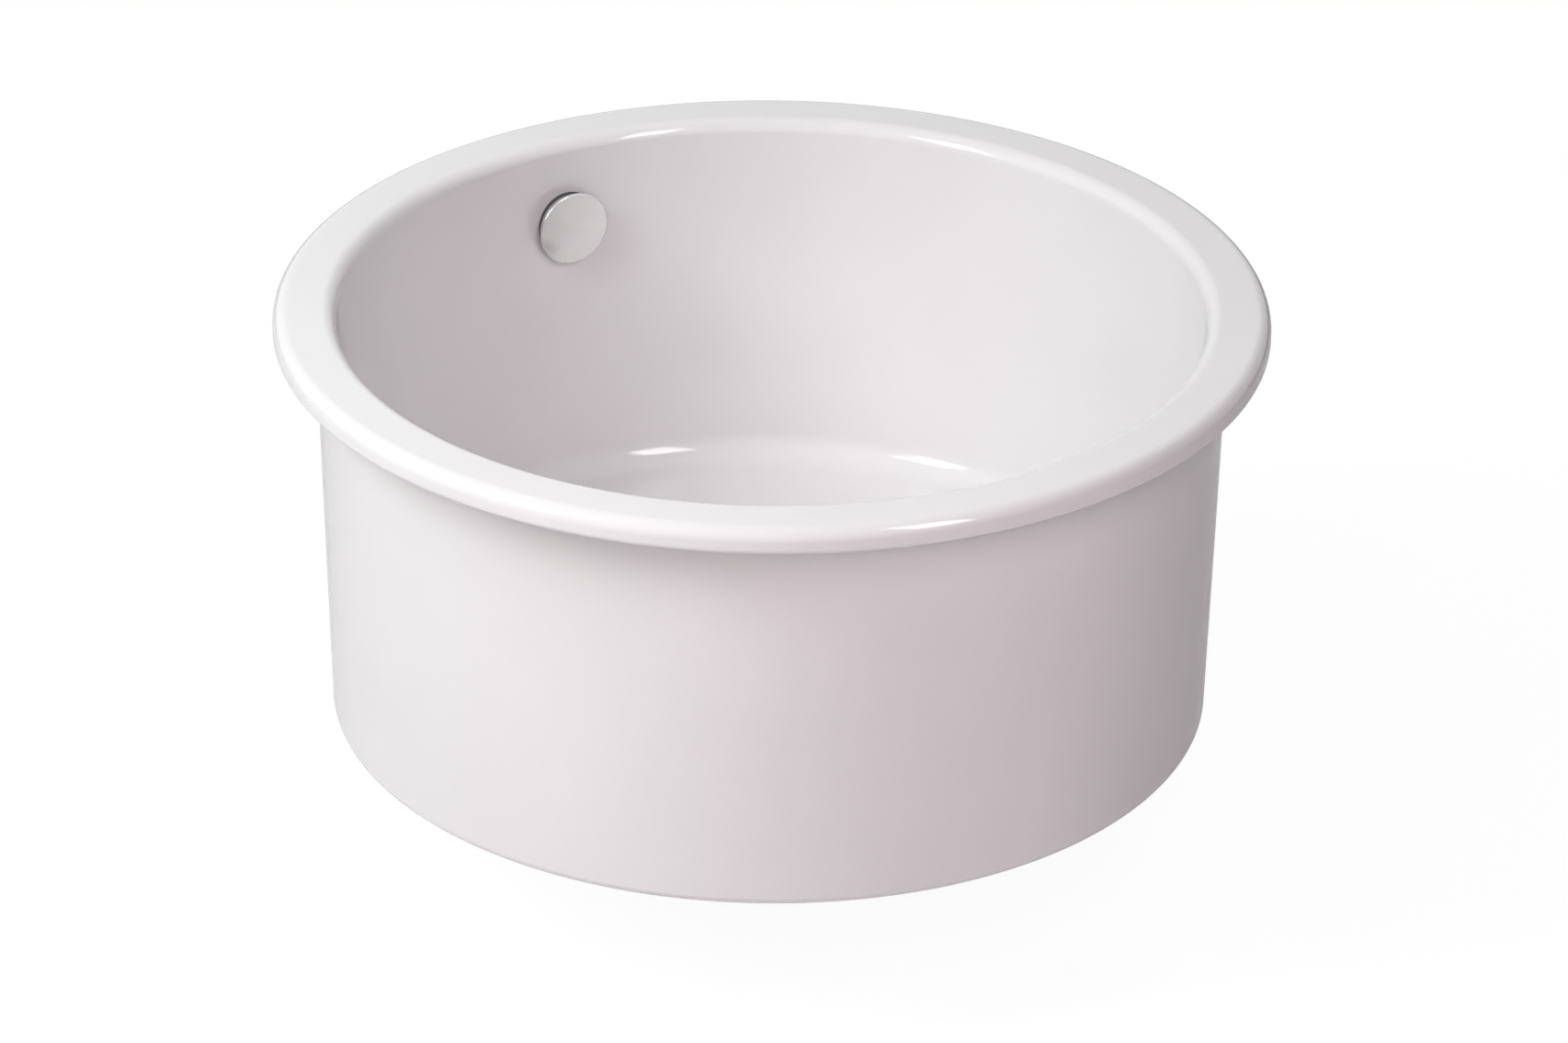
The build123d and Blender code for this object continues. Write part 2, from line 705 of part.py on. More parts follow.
# Basket: one pressed and pierced sheet, with slots round its wall and rings of holes in its floor
slot_planes = [Plane.XZ.rotated((0, 0, turn * 360 / wall_slot_count)) for turn in range(wall_slot_count // 2)]
with BuildPart() as basket_cup:
    with BuildSketch(Plane.XZ):
        with BuildLine():
            FilletPolyline(
                (basket_rim_r, basket_rim_level),
                (basket_top_r, basket_rim_level),
                (basket_low_r, basket_floor_level),
                (stem_r + thread_gap, basket_floor_level),
                radius=(basket_bend / 2, basket_bend),
            )
            offset(amount=basket_sheet, side=Side.LEFT)
        make_face()
    revolve(axis=Axis.Z)
    with BuildSketch(*slot_planes):
        with Locations((0, (basket_rim_level + basket_floor_level) / 2)):
            SlotOverall(wall_slot_length, wall_slot_width, rotation=90)
    extrude(amount=basket_rim_r, both=True, mode=Mode.SUBTRACT)
    with BuildSketch(Plane.XY.offset(basket_floor_level)):
        with PolarLocations(shoulder_r + inner_hole_step, inner_hole_count):
            Circle(floor_hole_dia / 2)
        with PolarLocations(shoulder_r + outer_hole_step, outer_hole_count):
            Circle(floor_hole_dia / 2)
    extrude(amount=-basket_sheet, mode=Mode.SUBTRACT)
save(basket_cup, "basket_cup")

# Basket stem: a shouldered pin from the knob down into the centre bolt
with BuildPart() as basket_stem:
    with BuildSketch(Plane.XY.offset(basket_floor_level)):
        Circle(shoulder_r)
    extrude(amount=stem_height)
    with BuildSketch(Plane.XY.offset(basket_floor_level)):
        Circle(stem_r)
    extrude(amount=stem_low_level - basket_floor_level)
    chamfer(basket_stem.edges().sort_by(Axis.Z)[0], length=stem_point)
save(basket_stem, "basket_stem")

# Basket knob: a turned mushroom knob that caps the stem
with BuildPart() as basket_knob:
    with BuildSketch(Plane.XZ):
        with BuildLine():
            FilletPolyline(
                (0, knob_low_level),
                (shoulder_r + knob_neck_wall, knob_low_level),
                (knob_dia / 2, stem_top_level),
                (knob_dia / 2, knob_low_level + knob_height),
                (0, knob_low_level + knob_height),
                radius=(0, 0, knob_neck_round, knob_round, 0),
                close=True,
            )
        make_face()
    revolve(axis=Axis.Z)
    with BuildSketch(Plane.XY.offset(knob_low_level)):
        Circle(shoulder_r + thread_gap)
    extrude(amount=knob_socket, mode=Mode.SUBTRACT)
save(basket_knob, "basket_knob")

# Stopper: a rubber disc under the basket that closes the cup's seat
with BuildPart() as basket_stopper:
    with BuildSketch(Plane.XY.offset(stopper_low_level)):
        Circle(stopper_r)
    extrude(amount=stopper_thick)
    fillet(basket_stopper.edges().sort_by(Axis.Z)[0], radius=stopper_lip)
    with BuildSketch(Plane.XY.offset(stopper_low_level)):
        Circle(stem_r + thread_gap)
    extrude(amount=stopper_thick, mode=Mode.SUBTRACT)
save(basket_stopper, "basket_stopper")

# Stopper washer and stem nut: they hold the stopper and the basket's floor against the shoulder
with BuildPart() as stopper_washer:
    with BuildSketch(Plane.XY.offset(washer_low_level)):
        Circle(stopper_washer_dia / 2)
        Circle(stem_r + thread_gap, mode=Mode.SUBTRACT)
    extrude(amount=stopper_washer_thick)
save(stopper_washer, "stopper_washer")

with BuildPart() as stem_nut:
    with BuildSketch(Plane.XY.offset(stem_nut_low)):
        RegularPolygon(stem_r + stem_nut_land, hex_sides, major_radius=False)
        Circle(stem_r + thread_gap, mode=Mode.SUBTRACT)
    extrude(amount=stem_nut_height)
save(stem_nut, "stem_nut")

# Stem clip: a split spring sleeve near the stem's tip that grips inside the centre bolt
with BuildPart() as stem_clip:
    with BuildSketch(Plane.XY.offset(stem_low_level + clip_above_tip)):
        Circle(clip_r)
        Circle(stem_r + thread_gap, mode=Mode.SUBTRACT)
        with Locations((clip_r, 0)):
            Rectangle(2 * clip_r, clip_slot, mode=Mode.SUBTRACT)
    extrude(amount=clip_length)
save(stem_clip, "stem_clip")
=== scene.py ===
import bpy
import bmesh
from math import ceil, cos, degrees, pi, radians, sin, tan
from mathutils import Matrix, Vector


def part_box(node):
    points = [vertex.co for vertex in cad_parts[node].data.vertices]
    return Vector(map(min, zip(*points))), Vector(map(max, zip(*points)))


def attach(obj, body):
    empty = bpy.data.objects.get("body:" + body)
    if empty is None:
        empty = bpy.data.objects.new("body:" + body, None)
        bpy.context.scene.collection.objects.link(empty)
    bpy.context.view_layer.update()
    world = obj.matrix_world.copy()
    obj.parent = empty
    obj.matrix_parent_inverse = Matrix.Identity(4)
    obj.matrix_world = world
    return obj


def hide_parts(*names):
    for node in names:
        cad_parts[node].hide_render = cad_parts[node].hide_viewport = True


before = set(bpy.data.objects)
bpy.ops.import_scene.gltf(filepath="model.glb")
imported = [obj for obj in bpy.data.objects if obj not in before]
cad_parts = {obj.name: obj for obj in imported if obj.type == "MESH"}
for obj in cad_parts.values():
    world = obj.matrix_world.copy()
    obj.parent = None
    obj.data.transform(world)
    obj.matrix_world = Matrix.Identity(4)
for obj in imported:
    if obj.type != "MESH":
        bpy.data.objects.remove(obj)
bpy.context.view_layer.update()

# pieces are drawn in millimetres about z, and scaled and placed once, in toPiece
mm = 0.001
up = Vector((0, 0, 1))
scene = bpy.context.scene

# a step of a round turns 8 degrees and runs 3 mm at most; drawn points nearer than touching become one
drawing = {"stepTurn": 8, "stepRun": 3, "fewestSteps": 2, "touching": 0.0005, "tightestBend": 0.2,
           "softenFrom": 40, "seam": 0.004}


def measured(node):
    # a node's radius about z, its lowest and its highest level in the frame
    low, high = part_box(node)
    return round(high.x / mm, 3), round(low.z / mm, 3), round(high.z / mm, 3)


# the overflow's upright plane stands 30 degrees left of the back
overflow = {"turn": 30, "level": -42, "pipeAt": 233.05, "inletLevel": -228.05}
outward = Vector((-sin(radians(overflow["turn"])), cos(radians(overflow["turn"])), 0))
sideways = Vector((-outward.y, outward.x, 0))


def placeAt(distance, level, facing=None):
    # a point in the overflow's upright plane; local z looks along facing, or outward with local y up
    if facing is None:
        place = Matrix((sideways, up, outward)).transposed().to_4x4()
    else:
        place = up.rotation_difference(Vector(facing)).to_matrix().to_4x4()
    place.translation = (outward * distance + up * level) * mm
    return place


def inScene(name, data):
    thing = bpy.data.objects.new(name, data)
    scene.collection.objects.link(thing)
    return thing


def asObject(name, shape):
    mesh = bpy.data.meshes.new(name)
    shape.to_mesh(mesh)
    shape.free()
    return inScene(name, mesh)


def toPiece(name, shape, place=None):
    bmesh.ops.scale(shape, verts=shape.verts, vec=(mm, mm, mm))
    if place is not None:
        bmesh.ops.transform(shape, matrix=place, verts=shape.verts)
    bmesh.ops.recalc_face_normals(shape, faces=shape.faces)
    return asObject(name, shape)


def drawSection(shape, corners):
    # corners are (radius, level, round); an edge that would lie on the axis is left out
    points = [shape.verts.new((radius, 0, level)) for radius, level, _ in corners]
    for i, point in enumerate(points):
        following = points[(i + 1) % len(points)]
        if point.co.x or following.co.x:
            shape.edges.new((point, following))
    for i, point in enumerate(points):
        if not corners[i][2]:
            continue
        around = (corners[i - 1], corners[i], corners[(i + 1) % len(corners)])
        before, here, after = (Vector((radius, 0, level)) for radius, level, _ in around)
        inside = (before - here).angle(after - here)
        reach = corners[i][2] / tan(inside / 2)
        steps = max(drawing["fewestSteps"], ceil(degrees(pi - inside) / drawing["stepTurn"]),
                    ceil((pi - inside) * corners[i][2] / drawing["stepRun"]))
        bmesh.ops.bevel(shape, geom=[point], affect="VERTICES", offset=reach, offset_type="OFFSET",
                        segments=steps, profile=0.5, material=-1)


def turned(name, corners, steps=96, place=None):
    shape = bmesh.new()
    drawSection(shape, corners)
    bmesh.ops.spin(shape, geom=shape.verts[:] + shape.edges[:], cent=(0, 0, 0), axis=up, angle=2 * pi,
                   steps=steps, use_merge=True)
    bmesh.ops.remove_doubles(shape, verts=shape.verts, dist=drawing["touching"])
    return toPiece(name, shape, place)


def pressedSection(line, sheet):
    # a bent sheet: the drawn line is its top, its thickness goes below, bends keep one centre
    points = [Vector((radius, level)) for radius, level, _ in line]
    low = []
    for i, point in enumerate(points):
        runs = [(points[j + 1] - points[j]).normalized() for j in (i - 1, i) if 0 <= j < len(points) - 1]
        normals = [Vector((run.y, -run.x)) for run in runs]
        middle = sum(normals, Vector((0, 0))).normalized()
        low.append(point - middle * (sheet / middle.dot(normals[0])))
    top = [(point.x, point.y, corner[2]) for point, corner in zip(points, line)]
    bottom = []
    for i in range(len(points) - 1, -1, -1):
        bend = line[i][2]
        if bend:
            turn = (points[i] - points[i - 1]).cross(points[i + 1] - points[i])
            bend = bend + sheet if turn > 0 else max(bend - sheet, drawing["tightestBend"])
        bottom.append((low[i].x, low[i].y, bend))
    return top + bottom


def prism(name, outline, thick, place=None, soften=0):
    # a flat outline in x and y, half its thickness above and half below; soften rounds every edge
    shape = bmesh.new()
    face = shape.faces.new([shape.verts.new((x, y, -thick / 2)) for x, y in outline])
    made = bmesh.ops.extrude_face_region(shape, geom=[face], use_keep_orig=True)["geom"]
    points = [v for v in made if isinstance(v, bmesh.types.BMVert)]
    bmesh.ops.translate(shape, vec=(0, 0, thick), verts=points)
    if soften:
        bmesh.ops.bevel(shape, geom=shape.edges[:], affect="EDGES", offset=soften, offset_type="OFFSET",
                        segments=2, profile=0.5, material=-1)
    return toPiece(name, shape, place)


def slotOutline(length, width, steps):
    # steps is for each round end
    half = (length - width) / 2
    outline = []
    for side, start in ((1, -pi / 2), (-1, pi / 2)):
        for i in range(steps + 1):
            angle = start + pi * i / steps
            outline.append((side * half + width / 2 * cos(angle), width / 2 * sin(angle)))
    return outline


def threadRidge(name, crest, depth, pitch, low, high, place=None, steps=48):
    # one closed ridge wound round z, sunk a little into a core of the root's radius
    ridge = {"base": 0.44 * pitch, "tip": 0.09 * pitch, "sunk": 0.25, "plainEnd": 0.35}
    inner, start = crest - depth - ridge["sunk"], low + ridge["plainEnd"] * pitch
    shape = bmesh.new()
    corners = [(inner, start - ridge["base"]), (crest, start - ridge["tip"]), (crest, start + ridge["tip"]),
               (inner, start + ridge["base"])]
    face = shape.faces.new([shape.verts.new((radius, 0, level)) for radius, level in corners])
    turns = int(((high - low) / pitch - 2 * ridge["plainEnd"]) * steps)
    bmesh.ops.spin(shape, geom=[face] + face.edges[:] + face.verts[:], cent=(0, 0, 0), axis=up,
                   dvec=(0, 0, pitch / steps), angle=2 * pi * turns / steps, steps=turns)
    bmesh.ops.holes_fill(shape, edges=[e for e in shape.edges if e.is_boundary], sides=4)
    return toPiece(name, shape, place)


def together(name, pieces):
    # several meshes in one, for a single cut
    shape = bmesh.new()
    for piece in pieces:
        shape.from_mesh(piece.data)
        bpy.data.objects.remove(piece)
    return asObject(name, shape)


def ringOf(piece, count, first=0, place=None):
    # copies of a piece round z in one mesh, from an angle of first degrees on
    shape = bmesh.new()
    shape.from_mesh(piece.data)
    bpy.data.objects.remove(piece)
    bmesh.ops.rotate(shape, verts=shape.verts, matrix=Matrix.Rotation(radians(first), 3, "Z"))
    bmesh.ops.spin(shape, geom=shape.verts[:] + shape.edges[:] + shape.faces[:], cent=(0, 0, 0), axis=up,
                   angle=2 * pi * (count - 1) / count, steps=count - 1, use_duplicate=True)
    if place is not None:
        bmesh.ops.transform(shape, matrix=place, verts=shape.verts)
    return asObject("ring", shape)


def combine(piece, tools, operation):
    for tool in tools:
        step = piece.modifiers.new(operation.lower(), "BOOLEAN")
        step.operation = operation
        step.object = tool
        step.solver = "EXACT"
    bpy.context.view_layer.update()
    result = bpy.data.meshes.new_from_object(piece.evaluated_get(bpy.context.evaluated_depsgraph_get()))
    piece.modifiers.clear()
    piece.data = result
    for tool in tools:
        bpy.data.objects.remove(tool)


def finishPiece(piece, body, slotName, node, sharp=35, soften=0):
    # edges over sharp degrees stay crisp in the shading; soften bevels the real corners by so many mm
    piece.data.materials.clear()
    piece.data.materials.append(finishes[slotName])
    for face in piece.data.polygons:
        face.use_smooth = True
        face.material_index = 0
    piece.data.set_sharp_from_angle(angle=radians(sharp))
    if soften:
        edges = piece.modifiers.new("soft edges", "BEVEL")
        edges.width = soften * mm
        edges.segments = 2
        edges.limit_method = "ANGLE"
        edges.angle_limit = radians(drawing["softenFrom"])
    seams = piece.modifiers.new("closed seams", "WELD")
    seams.merge_threshold = drawing["seam"] * mm
    normals = piece.modifiers.new("even shading", "WEIGHTED_NORMAL")
    normals.keep_sharp = True
    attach(piece, body)
    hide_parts(node)


def startMaterial(name, colour, roughness, **sockets):
    material = bpy.data.materials.new(name)
    material.use_nodes = True
    tree = material.node_tree
    shader = tree.nodes["Principled BSDF"]
    shader.inputs["Base Color"].default_value = (*colour, 1)
    shader.inputs["Roughness"].default_value = roughness
    for socket, value in sockets.items():
        shader.inputs[socket.replace("_", " ")].default_value = value
    place = tree.nodes.new("ShaderNodeTexCoord").outputs["Object"]
    return material, tree, shader, place


def noise(tree, place, scale, detail, rough=0.55):
    node = tree.nodes.new("ShaderNodeTexNoise")
    node.inputs["Scale"].default_value = scale
    node.inputs["Detail"].default_value = detail
    node.inputs["Roughness"].default_value = rough
    tree.links.new(place, node.inputs["Vector"])
    return node.outputs["Fac"]


def ringNoise(tree, place, scale, detail=4):
    # noise that changes only with the distance from z and the level, as turning and brushing leave it
    parts = tree.nodes.new("ShaderNodeSeparateXYZ")
    flat = tree.nodes.new("ShaderNodeCombineXYZ")
    reach = tree.nodes.new("ShaderNodeVectorMath")
    reach.operation = "LENGTH"
    tree.links.new(place, parts.inputs[0])
    tree.links.new(parts.outputs["X"], flat.inputs["X"])
    tree.links.new(parts.outputs["Y"], flat.inputs["Y"])
    tree.links.new(flat.outputs[0], reach.inputs[0])
    rings = tree.nodes.new("ShaderNodeCombineXYZ")
    tree.links.new(reach.outputs["Value"], rings.inputs["X"])
    tree.links.new(parts.outputs["Z"], rings.inputs["Y"])
    return noise(tree, rings.outputs[0], scale, detail)


def fitted(tree, value, low, high, fromLow=0.3, fromHigh=0.7):
    # noise keeps to the middle of its range, so 0.3 to 0.7 is spread out from low to high
    node = tree.nodes.new("ShaderNodeMapRange")
    for socket, number in (("From Min", fromLow), ("From Max", fromHigh), ("To Min", low), ("To Max", high)):
        node.inputs[socket].default_value = number
    tree.links.new(value, node.inputs["Value"])
    return node.outputs["Result"]


def mottled(tree, place, pattern, low=0, high=1):
    # pattern is (scale, detail)
    return fitted(tree, noise(tree, place, *pattern), low, high)


def blended(tree, factor, first, second):
    # colours may be constants or links
    node = tree.nodes.new("ShaderNodeMix")
    node.data_type = "RGBA"
    tree.links.new(factor, node.inputs["Factor"])
    for colour, socket in ((first, node.inputs[6]), (second, node.inputs[7])):
        if isinstance(colour, tuple):
            socket.default_value = (*colour, 1)
        else:
            tree.links.new(colour, socket)
    return node.outputs[2]


def raised(tree, shader, heights):
    # heights are (value, depth in mm), laid over each other
    normal = None
    for value, depth in heights:
        bump = tree.nodes.new("ShaderNodeBump")
        bump.inputs["Strength"].default_value = 1
        bump.inputs["Distance"].default_value = depth * mm
        tree.links.new(value, bump.inputs["Height"])
        if normal is not None:
            tree.links.new(normal, bump.inputs["Normal"])
        normal = bump.outputs["Normal"]
    tree.links.new(normal, shader.inputs["Normal"])


# In the finishes, clouds, patches, waves, grain and the like are noise patterns: (scale, detail)
def glazeMaterial():
    glaze = {"colour": (0.80, 0.778, 0.783), "thin": (0.77, 0.748, 0.753), "clouds": (9, 2), "ior": 1.52,
             "roughness": 0.07, "roughnessFrom": 0.05, "roughnessTo": 0.10, "patches": (30, 3),
             "waves": (22, 1), "waveDepth": 0.10, "pits": (160, 2), "pitDepth": 0.006}
    clay = {"colour": (0.60, 0.53, 0.44), "dark": 0.8, "grain": (900, 4), "roughness": 0.85,
            "level": measured("bowl")[1] + 1, "fade": 0.15, "wander": 0.4, "wandering": (45, 2)}
    material, tree, shader, place = startMaterial("white glaze", glaze["colour"], glaze["roughness"],
                                                  IOR=glaze["ior"])
    glazed = blended(tree, mottled(tree, place, glaze["clouds"]), glaze["colour"], glaze["thin"])
    # the foot ring's flat underside is left unglazed, with a wandering glaze line
    parts = tree.nodes.new("ShaderNodeSeparateXYZ")
    tree.links.new(place, parts.inputs[0])
    wander = mottled(tree, place, clay["wandering"], -clay["wander"] * mm, clay["wander"] * mm)
    line = tree.nodes.new("ShaderNodeMath")
    line.operation = "ADD"
    tree.links.new(parts.outputs["Z"], line.inputs[0])
    tree.links.new(wander, line.inputs[1])
    bare = fitted(tree, line.outputs[0], 1, 0, (clay["level"] - clay["fade"]) * mm,
                  (clay["level"] + clay["fade"]) * mm)
    unglazed = blended(tree, mottled(tree, place, clay["grain"]), clay["colour"],
                       tuple(clay["dark"] * c for c in clay["colour"]))
    tree.links.new(blended(tree, bare, glazed, unglazed), shader.inputs["Base Color"])
    gloss = mottled(tree, place, glaze["patches"], glaze["roughnessFrom"], glaze["roughnessTo"])
    roughness = tree.nodes.new("ShaderNodeMix")
    tree.links.new(bare, roughness.inputs["Factor"])
    tree.links.new(gloss, roughness.inputs["A"])
    roughness.inputs["B"].default_value = clay["roughness"]
    tree.links.new(roughness.outputs["Result"], shader.inputs["Roughness"])
    raised(tree, shader, [(noise(tree, place, *glaze["waves"]), glaze["waveDepth"]),
                          (noise(tree, place, *glaze["pits"]), glaze["pitDepth"])])
    return material


def chromeMaterial():
    chrome = {"colour": (0.81, 0.78, 0.78), "dull": (0.775, 0.745, 0.745), "haze": (60, 4),
              "roughness": 0.2, "roughnessFrom": 0.17, "roughnessTo": 0.23, "patches": (90, 4),
              "waves": (50, 1), "waveDepth": 0.002}
    material, tree, shader, place = startMaterial("chrome", chrome["colour"], chrome["roughness"], Metallic=1)
    haze = mottled(tree, place, chrome["haze"])
    tree.links.new(blended(tree, haze, chrome["colour"], chrome["dull"]), shader.inputs["Base Color"])
    patches = mottled(tree, place, chrome["patches"], chrome["roughnessFrom"], chrome["roughnessTo"])
    tree.links.new(patches, shader.inputs["Roughness"])
    raised(tree, shader, [(noise(tree, place, *chrome["waves"]), chrome["waveDepth"])])
    return material


def steelMaterial():
    # the darker a brushed ring is, the rougher it is
    steel = {"colour": (0.60, 0.60, 0.59), "dark": (0.46, 0.46, 0.455), "roughness": 0.3,
             "roughnessDark": 0.34, "roughnessBright": 0.2, "rings": 2600, "ringDepth": 0.012,
             "waves": (70, 2), "waveDepth": 0.02}
    material, tree, shader, place = startMaterial("stainless steel", steel["colour"], steel["roughness"],
                                                  Metallic=1)
    rings = ringNoise(tree, place, steel["rings"])
    brushed = blended(tree, fitted(tree, rings, 0, 1), steel["dark"], steel["colour"])
    tree.links.new(brushed, shader.inputs["Base Color"])
    worn = fitted(tree, rings, steel["roughnessDark"], steel["roughnessBright"])
    tree.links.new(worn, shader.inputs["Roughness"])
    raised(tree, shader, [(rings, steel["ringDepth"]),
                          (noise(tree, place, *steel["waves"]), steel["waveDepth"])])
    return material


def brassMaterial():
    brass = {"colour": (0.62, 0.42, 0.17), "dull": (0.45, 0.29, 0.12), "stain": (140, 4), "roughness": 0.3,
             "roughnessFrom": 0.24, "roughnessTo": 0.42, "rings": 3000, "ringDepth": 0.01}
    material, tree, shader, place = startMaterial("brass", brass["colour"], brass["roughness"], Metallic=1)
    rings = ringNoise(tree, place, brass["rings"])
    stain = mottled(tree, place, brass["stain"])
    tree.links.new(blended(tree, stain, brass["colour"], brass["dull"]), shader.inputs["Base Color"])
    worn = fitted(tree, rings, brass["roughnessFrom"], brass["roughnessTo"])
    tree.links.new(worn, shader.inputs["Roughness"])
    raised(tree, shader, [(rings, brass["ringDepth"])])
    return material


def plasticMaterial(name, colour, roughness):
    plastic = {"specular": 0.45, "clouds": (40, 3), "dark": 0.95, "smoother": 0.05, "rougher": 0.06,
               "patches": (260, 3), "grain": (1500, 2), "grainDepth": 0.012, "waves": (60, 1),
               "waveDepth": 0.03}
    material, tree, shader, place = startMaterial(name, colour, roughness,
                                                  Specular_IOR_Level=plastic["specular"])
    clouds = mottled(tree, place, plastic["clouds"])
    clouded = blended(tree, clouds, colour, tuple(plastic["dark"] * c for c in colour))
    tree.links.new(clouded, shader.inputs["Base Color"])
    patches = mottled(tree, place, plastic["patches"], roughness - plastic["smoother"],
                      roughness + plastic["rougher"])
    tree.links.new(patches, shader.inputs["Roughness"])
    raised(tree, shader, [(noise(tree, place, *plastic["grain"]), plastic["grainDepth"]),
                          (noise(tree, place, *plastic["waves"]), plastic["waveDepth"])])
    return material


def rubberMaterial():
    rubber = {"colour": (0.030, 0.030, 0.031), "bloom": (0.055, 0.055, 0.055), "blooms": (120, 5),
              "roughness": 0.62, "roughnessFrom": 0.52, "roughnessTo": 0.75, "patches": (500, 3),
              "grain": (1800, 2), "grainDepth": 0.02}
    material, tree, shader, place = startMaterial("black rubber", rubber["colour"], rubber["roughness"])
    bloom = mottled(tree, place, rubber["blooms"])
    tree.links.new(blended(tree, bloom, rubber["colour"], rubber["bloom"]), shader.inputs["Base Color"])
    patches = mottled(tree, place, rubber["patches"], rubber["roughnessFrom"], rubber["roughnessTo"])
    tree.links.new(patches, shader.inputs["Roughness"])
    raised(tree, shader, [(noise(tree, place, *rubber["grain"]), rubber["grainDepth"])])
    return material


finishes = {
    "white_glaze": glazeMaterial(),
    "chrome": chromeMaterial(),
    "stainless_steel": steelMaterial(),
    "white_plastic": plasticMaterial("white plastic", (0.76, 0.76, 0.74), 0.36),
    "grey_plastic": plasticMaterial("grey plastic", (0.27, 0.27, 0.28), 0.42),
    "black_rubber": rubberMaterial(),
    "brass": brassMaterial(),
}
print("materials ready")

# Bowl: rim, tapered walls, fall to the drain, foot ring; the overflow hole is cut with a glaze-rounded edge
rim, foot, rimTop = measured("bowl")
recess, base = measured("flange_seal")[1], measured("base_gasket")[2]
bowl = {"section": [(45, base, 1), (45, recess, 1), (58.5, recess, 1), (58.5, recess + 3, 1), (190, -175, 14),
                    (201, rimTop, 6.75), (rim, rimTop, 6.5), (rim, -12, 2.5), (210.5, -12, 4.5),
                    (205.3, foot, 4.5), (181.3, foot, 1), (181.3, base, 1)], "steps": 288}
hole = {"radius": 13, "flare": 1.6, "edge": 4, "wallIn": 198.4, "wallOut": 209.7, "pastIn": 20, "pastOut": 6,
        "steps": 64}
sinkBowl = turned("sinkBowl", bowl["section"], bowl["steps"])
cutIn, cutOut = hole["wallIn"] - hole["pastIn"], hole["wallOut"] + hole["pastOut"]
wide = hole["radius"] + hole["flare"]
holeSection = [(0, cutIn, 0), (wide + hole["pastIn"], cutIn, 0),
               (hole["radius"], hole["wallIn"] + hole["flare"], hole["edge"]),
               (hole["radius"], hole["wallOut"] - hole["flare"], hole["edge"]),
               (wide + hole["pastOut"], cutOut, 0), (0, cutOut, 0)]
holeCutter = turned("holeCutter", holeSection, hole["steps"], placeAt(0, overflow["level"]))
combine(sinkBowl, [holeCutter], "DIFFERENCE")
finishPiece(sinkBowl, "sink", "white_glaze", "bowl", sharp=60)
print("bowl done")

# Overflow cap: low crown, rounded edge, thin skirt, a boss behind on the stud
cap = {"section": [(0, 189.96, 0), (9.05, 189.96, 105), (18, 191.46, 0.6), (18, 192.8, 0.3), (17, 192.8, 0.3),
                   (17, 192.2, 0.4), (5, 191.46, 0.5), (5, 195.254, 0.2), (3.05, 195.254, 0.2),
                   (3.05, 191.46, 0), (0, 191.46, 0)], "steps": 128}
overflowCap = turned("overflowCap", cap["section"], cap["steps"], placeAt(0, overflow["level"]))
finishPiece(overflowCap, "sink", "chrome", "overflow_cap")
print("overflow cap done")

# Elbow: flanged cup on the overflow's axis, four gussets, a post for the insert, a threaded socket below
_, socketEnd, _ = measured("overflow_elbow")
elbow = {"cup": [(0, 212.055, 0), (21, 212.055, 0.5), (21, 215.055, 1.5), (14.5, 215.055, 1.2),
                 (14.5, 247.05, 4), (0, 247.05, 0)],
         "inside": [(0, 211, 0), (11.5, 211, 0), (11.5, 244.05, 2), (6, 244.05, 0.8), (6, 215.055, 0.3),
                    (4.5, 215.055, 0), (4.5, 231.055, 0), (0, 231.055, 0)],
         "socket": [(0, -42, 0), (14, -42, 0), (14, -58, 0.4), (13.25, -58.8, 0.3), (13.25, socketEnd, 0.6),
                    (0, socketEnd, 0)],
         "bore": [(0, -50, 0), (9.3, -50, 0), (9.3, -62, 0.3), (11.3, -62, 0), (11.3, socketEnd - 1, 0),
                  (0, socketEnd - 1, 0)],
         "gusset": [(212.9, 13.4), (212.9, 19.4), (215.3, 19.4), (224.055, 14.5), (224.055, 13.4)],
         "gussets": 4, "gussetFrom": 45, "gussetThick": 2.5, "gussetRound": 0.4, "steps": 64,
         "thread": {"crest": 14, "depth": 0.75, "pitch": 2, "low": -73.6, "high": -59}}
elbowPlace, pipePlace = placeAt(0, overflow["level"]), placeAt(overflow["pipeAt"], 0, up)
# a gusset is drawn as (along the axis, away from it) and stood up
gusset = prism("gusset", elbow["gusset"], elbow["gussetThick"], Matrix.Rotation(-pi / 2, 4, "Y"),
               elbow["gussetRound"])
overflowElbow = turned("overflowElbow", elbow["cup"], place=elbowPlace)
combine(overflowElbow, [turned("socket", elbow["socket"], elbow["steps"], pipePlace),
                        ringOf(gusset, elbow["gussets"], elbow["gussetFrom"], elbowPlace)], "UNION")
combine(overflowElbow, [turned("inside", elbow["inside"], elbow["steps"], elbowPlace),
                        turned("bore", elbow["bore"], elbow["steps"], pipePlace)], "DIFFERENCE")
combine(overflowElbow, [threadRidge("elbowThread", place=pipePlace, **elbow["thread"])], "UNION")
finishPiece(overflowElbow, "sink", "white_plastic", "overflow_elbow")
print("elbow done")

# Pipes: the upper one is straight; the lower one has a bell, a drop, a bend and a level run
_, upperLow, upperTop = measured("upper_pipe")
upper = {"section": [(9.3, upperTop, 0.3), (11, upperTop, 0.5), (11, upperLow, 0.5), (9.3, upperLow, 0.3)],
         "steps": 64}
lower = {"bell": 14, "bellTop": measured("lower_pipe")[2], "bellLow": -132.3, "shoulder": 1.2, "outer": 13,
         "inner": 11.3, "bendRadius": 36, "runEnd": 60.3, "softEdge": 0.4, "steps": 64, "bendSteps": 24}
upperPipe = turned("upperPipe", upper["section"], upper["steps"], pipePlace)
finishPiece(upperPipe, "sink", "white_plastic", "upper_pipe")


